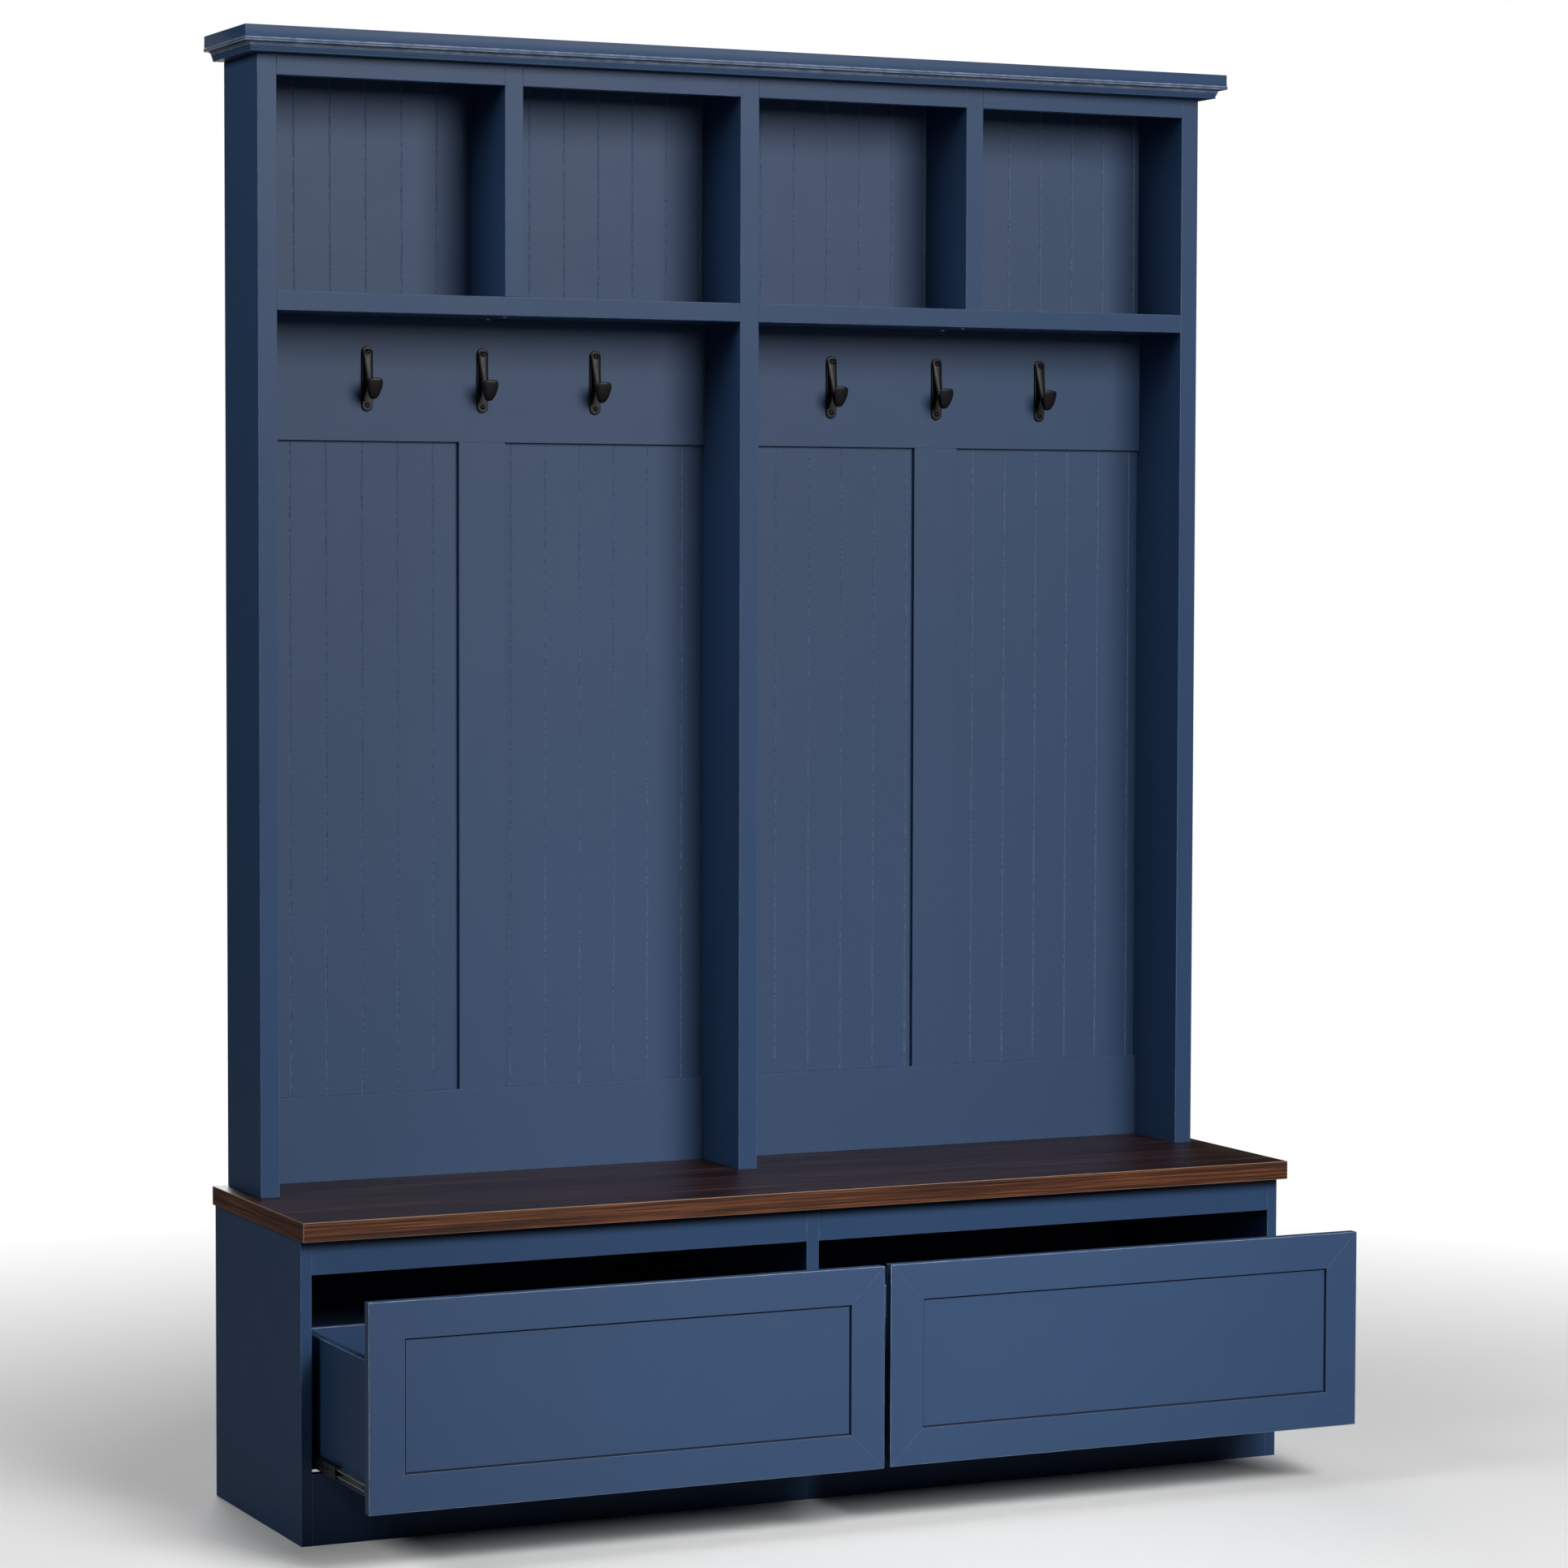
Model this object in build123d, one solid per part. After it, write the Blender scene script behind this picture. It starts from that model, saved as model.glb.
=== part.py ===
from build123d import *
import math
import os

# Hall tree: a bench with two wide drawers, and a hutch with cubbies, coat bays and hooks.
# Millimetres, +Z up, the front faces -Y, +X to the right.
# The origin lies on the floor, at the centre of the base's footprint.

# ---- driving dimensions ----------------------------------------------------------------
BASE_WIDTH = 1492
BASE_DEPTH = 361
BASE_SIDE_THICKNESS = 15.5
BASE_CENTRE_THICKNESS = 18.6
BASE_RAIL_THICKNESS = 15.5
BASE_TOP_RAIL_BOTTOM = 360.2
BASE_BACK_INSET = 10
BASE_BACK_BOTTOM = 80.8
BASE_LOWER_RAIL_TOP = 95.8
BENCH_UNDERSIDE = 407.5
BENCH_THICKNESS = 26
BENCH_WIDTH = 1500
BENCH_DEPTH = 384

HUTCH_WIDTH = 1455
HUTCH_DEPTH = 143.5
UPRIGHT_THICKNESS = 27
CENTRE_UPRIGHT_THICKNESS = 28.6
CUBBY_UPRIGHT_THICKNESS = 26.6
CUBBY_UPRIGHT_CENTRE = 357
SHELF_BOTTOM = 1637.5
SHELF_THICKNESS = 26
FRIEZE_BOTTOM = 1953
CARCASS_TOP = 1981.2
FRIEZE_THICKNESS = 18

PANEL_THICKNESS = 5
PANEL_TONGUE = 5
PANEL_FRONT_INSET = 14.8
OVERLAY_THICKNESS = 15
OVERLAY_FRONT_INSET = 21.6
HOOK_BOARD_BOTTOM = 1465.7
BOTTOM_BOARD_TOP = 553.4
MID_STILE_WIDTH = 69.5
MID_STILE_CENTRE = 357.4

BEAD_SPACING = 52.7
BEAD_WIDTH = 3.6
BEAD_DEPTH = 0.6
CUBBY_BEAD_AT = (-527.8, -177.9, 181.7, 533.6)
BAY_BEAD_AT = (-534.5, -153.9, 154.5, 527.7)

TOP_BOARD_THICKNESS = 16
TOP_BOARD_FRONT_OVERHANG = 7
CORNICE_HEIGHT = 33.6
CORNICE_THICKNESS = 28
CORNICE_FASCIA_HEIGHT = 16
CORNICE_BEAD_RADIUS = 2.7
CORNICE_BEAD_BULGE = 1
CORNICE_LEDGE = 6
CORNICE_COVE_WIDTH = 3.8
CORNICE_COVE_HEIGHT = 5.5
CORNICE_STEP = 1.1
CORNICE_FILLET_HEIGHT = 2.8

HOOK_SPACING = 171.4
HOOK_TOP = 1597.2
HOOK_PLATE_WIDTH = 16.5
HOOK_PLATE_HEIGHT = 90.5
HOOK_PLATE_THICKNESS = 3
HOOK_ARM_WIDTH = 10
HOOK_RIB_START = (2.5, -15)
HOOK_RIB_TOP = (6.5, -22)
HOOK_BEND_INSIDE = ((14, -58), (19.5, -62.5), (25, -58))
HOOK_TIP_BACK = (31, -47)
HOOK_TIP_FRONT = (36, -49)
HOOK_BEND_OUTSIDE = ((31, -66), (20, -76), (8, -70))
HOOK_RIB_END = (2.5, -62)
HOOK_TIP_CENTRE = (30, -58)
HOOK_TIP_LEAN = 0.25
HOOK_TIP_THICKNESS = 4
HOOK_TIP_UPPER = (7, 12, 4)
HOOK_TIP_LOWER = (0, -12, 3.5)
HOOK_SCREW_RADIUS = 2
HOOK_SCREW_LENGTH = 10
HOOK_SCREW_HEAD_RADIUS = 3.6
HOOK_SCREW_HEAD_HEIGHT = 1.6
HOOK_SCREW_INSET = 8.5

DRAWER_FRONT_WIDTH = 731
DRAWER_FRONT_GAP = 12
DRAWER_FRONT_BOTTOM = 87
DRAWER_FRONT_THICKNESS = 15
DRAWER_FRAME_WIDTH = 49
DRAWER_PANEL_RECESS = 3.5
DRAWER_PANEL_THICKNESS = 7
DRAWER_PANEL_TONGUE = 8
DRAWER_BUFFER_GAP = 1
LEFT_DRAWER_PULL = 222
RIGHT_DRAWER_PULL = 216

BOX_LENGTH = 320
BOX_BOTTOM = 97.5
BOX_TOP = 275
BOX_BOARD = 12
BOX_PANEL_THICKNESS = 5
BOX_PANEL_RAISE = 8
BOX_PANEL_TONGUE = 6

SLIDE_SPACE = 12.7
SLIDE_LENGTH = 300
SLIDE_CENTRE = 113
SLIDE_WALL = 1.0
SLIDE_SETBACK = 2
CABINET_MEMBER_HEIGHT = 22.4
CABINET_MEMBER_REACH = 9.5
MIDDLE_MEMBER_HEIGHT = 16.4
MIDDLE_MEMBER_REACH = 8.6
MIDDLE_MEMBER_WALL_GAP = 2.2
MIDDLE_MEMBER_LENGTH = 272
MIDDLE_MEMBER_SETBACK = 25
DRAWER_MEMBER_HEIGHT = 10.4
DRAWER_MEMBER_REACH = 8.6

# ---- places worked out from them -------------------------------------------------------
FRONT = -BASE_DEPTH / 2
BACK = BASE_DEPTH / 2
BASE_X = BASE_WIDTH / 2
BASE_INNER_X = BASE_X - BASE_SIDE_THICKNESS
BASE_CENTRE_X = BASE_CENTRE_THICKNESS / 2
BASE_PANEL_FRONT = BACK - BASE_BACK_INSET

BENCH_TOP = BENCH_UNDERSIDE + BENCH_THICKNESS
HUTCH_FRONT = BACK - HUTCH_DEPTH
HUTCH_X = HUTCH_WIDTH / 2
HUTCH_INNER_X = HUTCH_X - UPRIGHT_THICKNESS
CENTRE_X = CENTRE_UPRIGHT_THICKNESS / 2
CUBBY_X0 = CUBBY_UPRIGHT_CENTRE - CUBBY_UPRIGHT_THICKNESS / 2
CUBBY_X1 = CUBBY_UPRIGHT_CENTRE + CUBBY_UPRIGHT_THICKNESS / 2
SHELF_TOP = SHELF_BOTTOM + SHELF_THICKNESS
PANEL_FRONT = BACK - PANEL_FRONT_INSET
OVERLAY_FRONT = BACK - OVERLAY_FRONT_INSET
OVERLAY_BACK = OVERLAY_FRONT + OVERLAY_THICKNESS
STILE_X0 = MID_STILE_CENTRE - MID_STILE_WIDTH / 2
STILE_X1 = MID_STILE_CENTRE + MID_STILE_WIDTH / 2
BAY_CENTRE = (CENTRE_X + HUTCH_INNER_X) / 2

SIDES = {"left": -1, "right": 1}
PULLS = {"left": LEFT_DRAWER_PULL, "right": RIGHT_DRAWER_PULL}


def slab(x, y, z):
    """A board between two places along each axis, given in any order."""
    spans = [sorted(span) for span in (x, y, z)]
    sizes = [high - low for low, high in spans]
    return Pos(*[(low + high) / 2 for low, high in spans]) * Box(*sizes)


def mirrored(part, side):
    """The right-hand piece as it is, or its mirror image on the left."""
    return part if side > 0 else mirror(part, about=Plane.YZ)


nodes = {}


# ---- bench base: sides, centre panel, rails and back -----------------------------------
def base_back_panel():
    return slab((-BASE_INNER_X - PANEL_TONGUE, BASE_INNER_X + PANEL_TONGUE),
                (BASE_PANEL_FRONT, BASE_PANEL_FRONT + PANEL_THICKNESS),
                (BASE_BACK_BOTTOM, BENCH_UNDERSIDE))


nodes["base_back_panel"] = base_back_panel()
for name, side in SIDES.items():
    board = slab((side * BASE_INNER_X, side * BASE_X), (FRONT, BACK), (0, BENCH_UNDERSIDE))
    nodes[f"base_side_{name}"] = board - nodes["base_back_panel"]
    rail_x = (side * BASE_CENTRE_X, side * BASE_INNER_X)
    rail_y = (FRONT, FRONT + BASE_RAIL_THICKNESS)
    nodes[f"base_top_rail_{name}"] = slab(rail_x, rail_y, (BASE_TOP_RAIL_BOTTOM, BENCH_UNDERSIDE))
    nodes[f"base_lower_rail_{name}"] = slab(rail_x, rail_y, (0, BASE_LOWER_RAIL_TOP))
nodes["base_centre_panel"] = slab((-BASE_CENTRE_X, BASE_CENTRE_X), (FRONT, BASE_PANEL_FRONT),
                                  (0, BENCH_UNDERSIDE))

# ---- bench top: a thick board that overhangs the base at the front and both ends -------
nodes["bench_top"] = slab((-BENCH_WIDTH / 2, BENCH_WIDTH / 2), (BACK - BENCH_DEPTH, BACK),
                          (BENCH_UNDERSIDE, BENCH_TOP))


# ---- hutch back: beadboard panels held by their tongues --------------------------------
def beadboard(x, z, bead_at):
    """A thin panel with V-shaped beads at an even spacing, one of them at bead_at."""
    panel = slab((x[0] - PANEL_TONGUE, x[1] + PANEL_TONGUE),
                 (PANEL_FRONT, PANEL_FRONT + PANEL_THICKNESS),
                 (z[0] - PANEL_TONGUE, z[1] + PANEL_TONGUE))
    bead = Pos(0, PANEL_FRONT, (z[0] + z[1]) / 2) * extrude(
        Polygon((-BEAD_WIDTH / 2, 0), (BEAD_WIDTH / 2, 0), (0, BEAD_DEPTH), align=None),
        (z[1] - z[0]) / 2, both=True)
    first = math.ceil((x[0] + BEAD_WIDTH - bead_at) / BEAD_SPACING)
    last = math.floor((x[1] - BEAD_WIDTH - bead_at) / BEAD_SPACING)
    places = [bead_at + step * BEAD_SPACING for step in range(first, last + 1)]
    return panel - [Pos(place, 0, 0) * bead for place in places]


CUBBY_COLUMNS = ((-HUTCH_INNER_X, -CUBBY_X1), (-CUBBY_X0, -CENTRE_X),
                 (CENTRE_X, CUBBY_X0), (CUBBY_X1, HUTCH_INNER_X))
BAY_COLUMNS = ((-HUTCH_INNER_X, -STILE_X1), (-STILE_X0, -CENTRE_X),
               (CENTRE_X, STILE_X0), (STILE_X1, HUTCH_INNER_X))
cubby_rows = (SHELF_TOP, CARCASS_TOP)
bay_rows = (BOTTOM_BOARD_TOP, HOOK_BOARD_BOTTOM)
panels = []
for number in range(4):
    cubby_panel = beadboard(CUBBY_COLUMNS[number], cubby_rows, CUBBY_BEAD_AT[number])
    bay_panel = beadboard(BAY_COLUMNS[number], bay_rows, BAY_BEAD_AT[number])
    nodes[f"cubby_back_panel_{number + 1}"] = cubby_panel
    nodes[f"bay_back_panel_{number + 1}"] = bay_panel
    panels += [cubby_panel, bay_panel]


def grooved(board):
    """A board with grooves for the tongues of the panels beside it."""
    return board - panels


# ---- hutch: uprights, shelves and the rails under the cornice --------------------------
hutch_y = (HUTCH_FRONT, BACK)
nodes["hutch_centre_upright"] = grooved(
    slab((-CENTRE_X, CENTRE_X), hutch_y, (BENCH_TOP, CARCASS_TOP)))
for name, side in SIDES.items():
    nodes[f"hutch_side_{name}"] = grooved(
        slab((side * HUTCH_INNER_X, side * HUTCH_X), hutch_y, (BENCH_TOP, CARCASS_TOP)))
    nodes[f"shelf_{name}"] = grooved(
        slab((side * CENTRE_X, side * HUTCH_INNER_X), hutch_y, (SHELF_BOTTOM, SHELF_TOP)))
    nodes[f"cubby_upright_{name}"] = grooved(
        slab((side * CUBBY_X0, side * CUBBY_X1), hutch_y, (SHELF_TOP, CARCASS_TOP)))
nodes["frieze_rails"] = Compound([
    slab(column, (HUTCH_FRONT, HUTCH_FRONT + FRIEZE_THICKNESS), (FRIEZE_BOTTOM, CARCASS_TOP))
    for column in CUBBY_COLUMNS])

# ---- hutch back boards: hook board, middle stile and bottom board of each coat bay -----
overlay_y = (OVERLAY_FRONT, OVERLAY_BACK)
for name, side in SIDES.items():
    bay_x = (side * CENTRE_X, side * HUTCH_INNER_X)
    nodes[f"hook_board_{name}"] = grooved(slab(bay_x, overlay_y, (HOOK_BOARD_BOTTOM, SHELF_BOTTOM)))
    nodes[f"mid_stile_{name}"] = grooved(
        slab((side * STILE_X0, side * STILE_X1), overlay_y, bay_rows))
    nodes[f"bottom_board_{name}"] = grooved(slab(bay_x, overlay_y, (BENCH_TOP, BOTTOM_BOARD_TOP)))

# ---- top board, with the mitred cornice moulding round three of its edges --------------
top_front = HUTCH_FRONT - TOP_BOARD_FRONT_OVERHANG
nodes["hutch_top_board"] = grooved(slab((-HUTCH_X, HUTCH_X), (top_front, BACK),
                                        (CARCASS_TOP, CARCASS_TOP + TOP_BOARD_THICKNESS)))


def cornice_section():
    """The moulding's outline: X is its distance out from the board, Y its height."""
    out, top = CORNICE_THICKNESS, CORNICE_HEIGHT
    bead_top = top - CORNICE_FASCIA_HEIGHT
    bead_bottom = bead_top - 2 * CORNICE_BEAD_RADIUS
    ledge = out - CORNICE_LEDGE
    cove_out = ledge - CORNICE_COVE_WIDTH
    cove_bottom = bead_bottom - CORNICE_COVE_HEIGHT
    cove_middle = math.sqrt(0.5)
    fillet_out = cove_out - CORNICE_STEP
    fillet_bottom = cove_bottom - CORNICE_FILLET_HEIGHT
    foot_out = fillet_out - CORNICE_STEP
    lines = [
        Line((0, 0), (0, top)),
        Line((0, top), (out, top)),
        Line((out, top), (out, bead_top)),
        ThreePointArc((out, bead_top), (out + CORNICE_BEAD_BULGE, bead_top - CORNICE_BEAD_RADIUS),
                      (out, bead_bottom)),
        Line((out, bead_bottom), (ledge, bead_bottom)),
        ThreePointArc((ledge, bead_bottom),
                      (ledge - CORNICE_COVE_WIDTH * cove_middle,
                       cove_bottom + CORNICE_COVE_HEIGHT * cove_middle),
                      (cove_out, cove_bottom)),
        Line((cove_out, cove_bottom), (fillet_out, cove_bottom)),
        Line((fillet_out, cove_bottom), (fillet_out, fillet_bottom)),
        Line((fillet_out, fillet_bottom), (foot_out, fillet_bottom)),
        Line((foot_out, fillet_bottom), (foot_out, 0)),
        Line((foot_out, 0), (0, 0)),
    ]
    return make_face(Wire(lines))


def cornice_run(start, end):
    """A straight run of the moulding along +X, with its back on the XZ plane."""
    plane = Plane(origin=(end, 0, CARCASS_TOP), x_dir=(0, -1, 0), z_dir=(-1, 0, 0))
    return extrude(plane * cornice_section(), end - start)


def mitre_wedge(corner_x, corner_y, side):
    """The space in front of the 45 degree plane through a front corner of the top board."""
    reach = 4 * CORNICE_THICKNESS
    outline = Polygon((corner_x - side * reach, corner_y + reach),
                      (corner_x + side * reach, corner_y - reach),
                      (corner_x - side * reach, corner_y - reach), align=None)
    return Pos(0, 0, CARCASS_TOP - 1) * extrude(outline, CORNICE_HEIGHT + 2, dir=(0, 0, 1))


far_out = 2 * CORNICE_THICKNESS
front_run = Pos(0, top_front, 0) * cornice_run(-HUTCH_X - far_out, HUTCH_X + far_out)
for name, side in SIDES.items():
    corner = (side * HUTCH_X, top_front)
    side_run = Pos(HUTCH_X, 0, 0) * Rot(0, 0, 90) * cornice_run(top_front - far_out, BACK)
    side_run = mirrored(side_run, side)
    nodes[f"cornice_{name}"] = side_run - mitre_wedge(*corner, side)
    far_block = slab((corner[0], corner[0] + side * 2 * far_out),
                     (top_front - 2 * far_out, top_front + 2 * far_out),
                     (CARCASS_TOP - 1, CARCASS_TOP + CORNICE_HEIGHT + 1))
    far_wedge = far_block - mitre_wedge(*corner, side)
    front_run = front_run - far_wedge
nodes["cornice_front"] = front_run

# ---- coat hooks: cast plate with a sloping rib, a J bend and a flared tip --------------
hook_screw_drops = (HOOK_SCREW_INSET, HOOK_PLATE_HEIGHT - HOOK_SCREW_INSET)


def hook_plate():
    outline = SlotOverall(HOOK_PLATE_HEIGHT, HOOK_PLATE_WIDTH, rotation=90)
    plate = extrude(Plane.XZ * outline, HOOK_PLATE_THICKNESS)
    return Pos(0, 0, -HOOK_PLATE_HEIGHT / 2) * plate


def hook_arm():
    """The rib and its J bend, drawn from the side: X is the reach, Y the height."""
    lines = [
        Line(HOOK_RIB_START, HOOK_RIB_TOP),
        Line(HOOK_RIB_TOP, HOOK_BEND_INSIDE[0]),
        ThreePointArc(*HOOK_BEND_INSIDE),
        Line(HOOK_BEND_INSIDE[-1], HOOK_TIP_BACK),
        Line(HOOK_TIP_BACK, HOOK_TIP_FRONT),
        Line(HOOK_TIP_FRONT, HOOK_BEND_OUTSIDE[0]),
        ThreePointArc(*HOOK_BEND_OUTSIDE),
        Line(HOOK_BEND_OUTSIDE[-1], HOOK_RIB_END),
        Line(HOOK_RIB_END, HOOK_RIB_START),
    ]
    side_view = Plane(origin=(0, 0, 0), x_dir=(0, -1, 0), z_dir=(-1, 0, 0)) * make_face(Wire(lines))
    return extrude(side_view, HOOK_ARM_WIDTH / 2, both=True)


def hook_tip():
    """The flared, rounded triangle at the end of the arm, leaning outwards."""
    corners = []
    for x, y, radius in (HOOK_TIP_UPPER, HOOK_TIP_LOWER):
        for side in (-1, 1):
            corners += (Pos(side * x, y) * Circle(radius)).edges()
    reach, height = HOOK_TIP_CENTRE
    leaning = Plane(origin=(0, -reach, height), x_dir=(1, 0, 0), z_dir=(0, -1, -HOOK_TIP_LEAN))
    return extrude(leaning * make_hull(corners), HOOK_TIP_THICKNESS)


def screw_places(x):
    return [Pos(x, OVERLAY_FRONT, HOOK_TOP - drop) for drop in hook_screw_drops]


def hook_screw():
    """Its axis is Y: a shank in the board and a domed head on the hook's plate."""
    length = HOOK_PLATE_THICKNESS + HOOK_SCREW_LENGTH
    shank = Cylinder(HOOK_SCREW_RADIUS, length)
    head_middle = (length + HOOK_SCREW_HEAD_HEIGHT) / 2
    head = Pos(0, 0, head_middle) * Cylinder(HOOK_SCREW_HEAD_RADIUS, HOOK_SCREW_HEAD_HEIGHT)
    return Pos(0, length / 2 - HOOK_PLATE_THICKNESS, 0) * Rot(90, 0, 0) * (shank + head)


hook_places = [side * BAY_CENTRE + step * HOOK_SPACING for side in (-1, 1) for step in (-1, 0, 1)]
screws = [place * hook_screw() for x in hook_places for place in screw_places(x)]
for number, x in enumerate(hook_places, start=1):
    hook = hook_plate() + hook_arm() + hook_tip()
    nodes[f"coat_hook_{number}"] = Pos(x, OVERLAY_FRONT, HOOK_TOP) * hook - screws
nodes["hook_screws"] = Compound(screws)
for name in SIDES:
    nodes[f"hook_board_{name}"] = nodes[f"hook_board_{name}"] - screws


# ---- drawers: mitred front frame, recessed panel, box and bottom ------------------------
def drawer_front_panel(x, y, z):
    """The recessed panel, with its edges in the frame's grooves."""
    held = DRAWER_FRAME_WIDTH - DRAWER_PANEL_TONGUE
    panel_front = y + DRAWER_PANEL_RECESS
    return slab((x[0] + held, x[1] - held), (panel_front, panel_front + DRAWER_PANEL_THICKNESS),
                (z[0] + held, z[1] - held))


def drawer_front_frame(x, y, z, panel):
    """Four mitred pieces round the panel."""
    w = DRAWER_FRAME_WIDTH
    outer = [(x[0], z[0]), (x[1], z[0]), (x[1], z[1]), (x[0], z[1])]
    inner = [(x[0] + w, z[0] + w), (x[1] - w, z[0] + w), (x[1] - w, z[1] - w), (x[0] + w, z[1] - w)]
    pieces = []
    for corner in range(4):
        after = (corner + 1) % 4
        outline = Polygon(outer[corner], outer[after], inner[after], inner[corner], align=None)
        piece = Pos(0, y, 0) * extrude(Plane.XZ * outline, -DRAWER_FRONT_THICKNESS)
        pieces.append(piece - panel)
    return Compound(pieces)


def channel(face_x, open_side, y, height, wall_reach):
    """A C-shaped slide member: its web lies at face_x and its walls reach towards open_side."""
    z = (SLIDE_CENTRE - height / 2, SLIDE_CENTRE + height / 2)
    block = slab((face_x, face_x + open_side * wall_reach), y, z)
    hollow = slab((face_x + open_side * SLIDE_WALL, face_x + open_side * (wall_reach + 1)),
                  (y[0] - 1, y[1] + 1), (z[0] + SLIDE_WALL, z[1] - SLIDE_WALL))
    return block - hollow


front_z = (DRAWER_FRONT_BOTTOM, BASE_TOP_RAIL_BOTTOM)
cabinet_members = []
for name, side in SIDES.items():
    pull = PULLS[name]
    front_back_y = FRONT - DRAWER_BUFFER_GAP - pull
    front_y = front_back_y - DRAWER_FRONT_THICKNESS
    front_x = sorted((side * DRAWER_FRONT_GAP / 2, side * (DRAWER_FRONT_GAP / 2 + DRAWER_FRONT_WIDTH)))
    panel = drawer_front_panel(front_x, front_y, front_z)
    nodes[f"drawer_{name}_front_panel"] = panel
    nodes[f"drawer_{name}_front_frame"] = drawer_front_frame(front_x, front_y, front_z, panel)

    bay = sorted((side * BASE_CENTRE_X, side * BASE_INNER_X))
    box_x = (bay[0] + SLIDE_SPACE, bay[1] - SLIDE_SPACE)
    box_y = (front_back_y, front_back_y + BOX_LENGTH)
    box_z = (BOX_BOTTOM, BOX_TOP)
    inner_x = (box_x[0] + BOX_BOARD, box_x[1] - BOX_BOARD)
    bottom_z = BOX_BOTTOM + BOX_PANEL_RAISE
    bottom = slab((inner_x[0] - BOX_PANEL_TONGUE, inner_x[1] + BOX_PANEL_TONGUE),
                  (box_y[0], box_y[1] - BOX_BOARD + BOX_PANEL_TONGUE),
                  (bottom_z, bottom_z + BOX_PANEL_THICKNESS))
    nodes[f"drawer_{name}_bottom"] = bottom
    nodes[f"drawer_{name}_side_left"] = slab((box_x[0], inner_x[0]), box_y, box_z) - bottom
    nodes[f"drawer_{name}_side_right"] = slab((inner_x[1], box_x[1]), box_y, box_z) - bottom
    nodes[f"drawer_{name}_back"] = slab(inner_x, (box_y[1] - BOX_BOARD, box_y[1]), box_z) - bottom

    # three-member ball slides: the middle member runs half as far as the drawer
    drawer_members, middle_members = [], []
    cabinet_y = (FRONT + SLIDE_SETBACK, FRONT + SLIDE_SETBACK + SLIDE_LENGTH)
    drawer_y = (front_back_y + SLIDE_SETBACK, front_back_y + SLIDE_SETBACK + SLIDE_LENGTH)
    middle_start = cabinet_y[0] + MIDDLE_MEMBER_SETBACK - pull / 2
    middle_y = (middle_start, middle_start + MIDDLE_MEMBER_LENGTH)
    for wall_x, inward in ((bay[0], 1), (bay[1], -1)):
        cabinet_members.append(channel(wall_x, inward, cabinet_y, CABINET_MEMBER_HEIGHT,
                                       CABINET_MEMBER_REACH))
        middle_members.append(channel(wall_x + inward * MIDDLE_MEMBER_WALL_GAP, inward, middle_y,
                                      MIDDLE_MEMBER_HEIGHT, MIDDLE_MEMBER_REACH))
        drawer_members.append(channel(wall_x + inward * SLIDE_SPACE, -inward, drawer_y,
                                      DRAWER_MEMBER_HEIGHT, DRAWER_MEMBER_REACH))
    nodes[f"drawer_{name}_slide_members"] = Compound(drawer_members)
    nodes[f"middle_{name}_slide_members"] = Compound(middle_members)
nodes["cabinet_slide_members"] = Compound(cabinet_members)

# ---- files ------------------------------------------------------------------------------
os.makedirs("parts", exist_ok=True)
for name, shape in nodes.items():
    export_step(Compound(shape.solids()), f"parts/{name}.step")
print(len(nodes), "nodes")
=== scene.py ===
import math
import bmesh
import bpy
from mathutils import Matrix, Vector


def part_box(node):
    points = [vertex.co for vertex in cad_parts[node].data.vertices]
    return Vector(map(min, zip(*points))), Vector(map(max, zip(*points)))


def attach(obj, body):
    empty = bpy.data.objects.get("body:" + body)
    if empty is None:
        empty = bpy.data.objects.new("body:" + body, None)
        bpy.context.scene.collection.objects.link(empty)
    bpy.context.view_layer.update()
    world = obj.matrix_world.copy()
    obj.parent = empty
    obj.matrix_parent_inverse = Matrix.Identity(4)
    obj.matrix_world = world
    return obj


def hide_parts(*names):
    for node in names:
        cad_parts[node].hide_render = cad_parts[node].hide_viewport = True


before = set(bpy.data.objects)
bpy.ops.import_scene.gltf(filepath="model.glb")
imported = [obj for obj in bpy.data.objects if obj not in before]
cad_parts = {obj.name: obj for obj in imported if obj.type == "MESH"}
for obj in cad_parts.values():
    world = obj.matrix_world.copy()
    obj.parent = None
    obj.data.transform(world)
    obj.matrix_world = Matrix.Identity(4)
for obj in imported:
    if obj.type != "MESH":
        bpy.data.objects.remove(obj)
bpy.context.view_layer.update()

# ---- Camera ------------------------------------------------------------------------------
# A long lens stands off to the left, at about two thirds of the hall tree's height, and
# looks slightly down, so that the open drawers and the bays' right-hand walls both show.
CAMERA_PLACE = (-2.6945, -5.8557, 1.3227)
VIEW_TURN, VIEW_TILT, VIEW_ROLL = (math.radians(angle) for angle in (25.018, -2.995, 0.152))
SENSOR_WIDTH, FOCAL_LENGTH = 36, 104.86
camera_data = bpy.data.cameras.new("camera")
camera_data.sensor_width = SENSOR_WIDTH
camera_data.lens = FOCAL_LENGTH
camera = bpy.data.objects.new("camera", camera_data)
bpy.context.scene.collection.objects.link(camera)
camera.matrix_world = (Matrix.Translation(CAMERA_PLACE)
                       @ Matrix.Rotation(-VIEW_TURN, 4, "Z")
                       @ Matrix.Rotation(math.pi / 2 + VIEW_TILT, 4, "X")
                       @ Matrix.Rotation(VIEW_ROLL, 4, "Z"))
bpy.context.scene.camera = camera
bpy.context.scene.view_settings.view_transform = "Standard"


# ---- Floor and lights ----------------------------------------------------------------------
# A pale studio floor fades to white. A broad soft light hangs in front and above, with a
# small one for the drawers, one high on the left and one behind, in a dim surround.
def shader_node(nodes, kind, values=None, **settings):
    """A new node with its settings and the values of its unlinked sockets."""
    node = nodes.new(kind)
    for key, value in settings.items():
        setattr(node, key, value)
    for socket, value in (values or {}).items():
        node.inputs[socket].default_value = value
    return node


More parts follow.
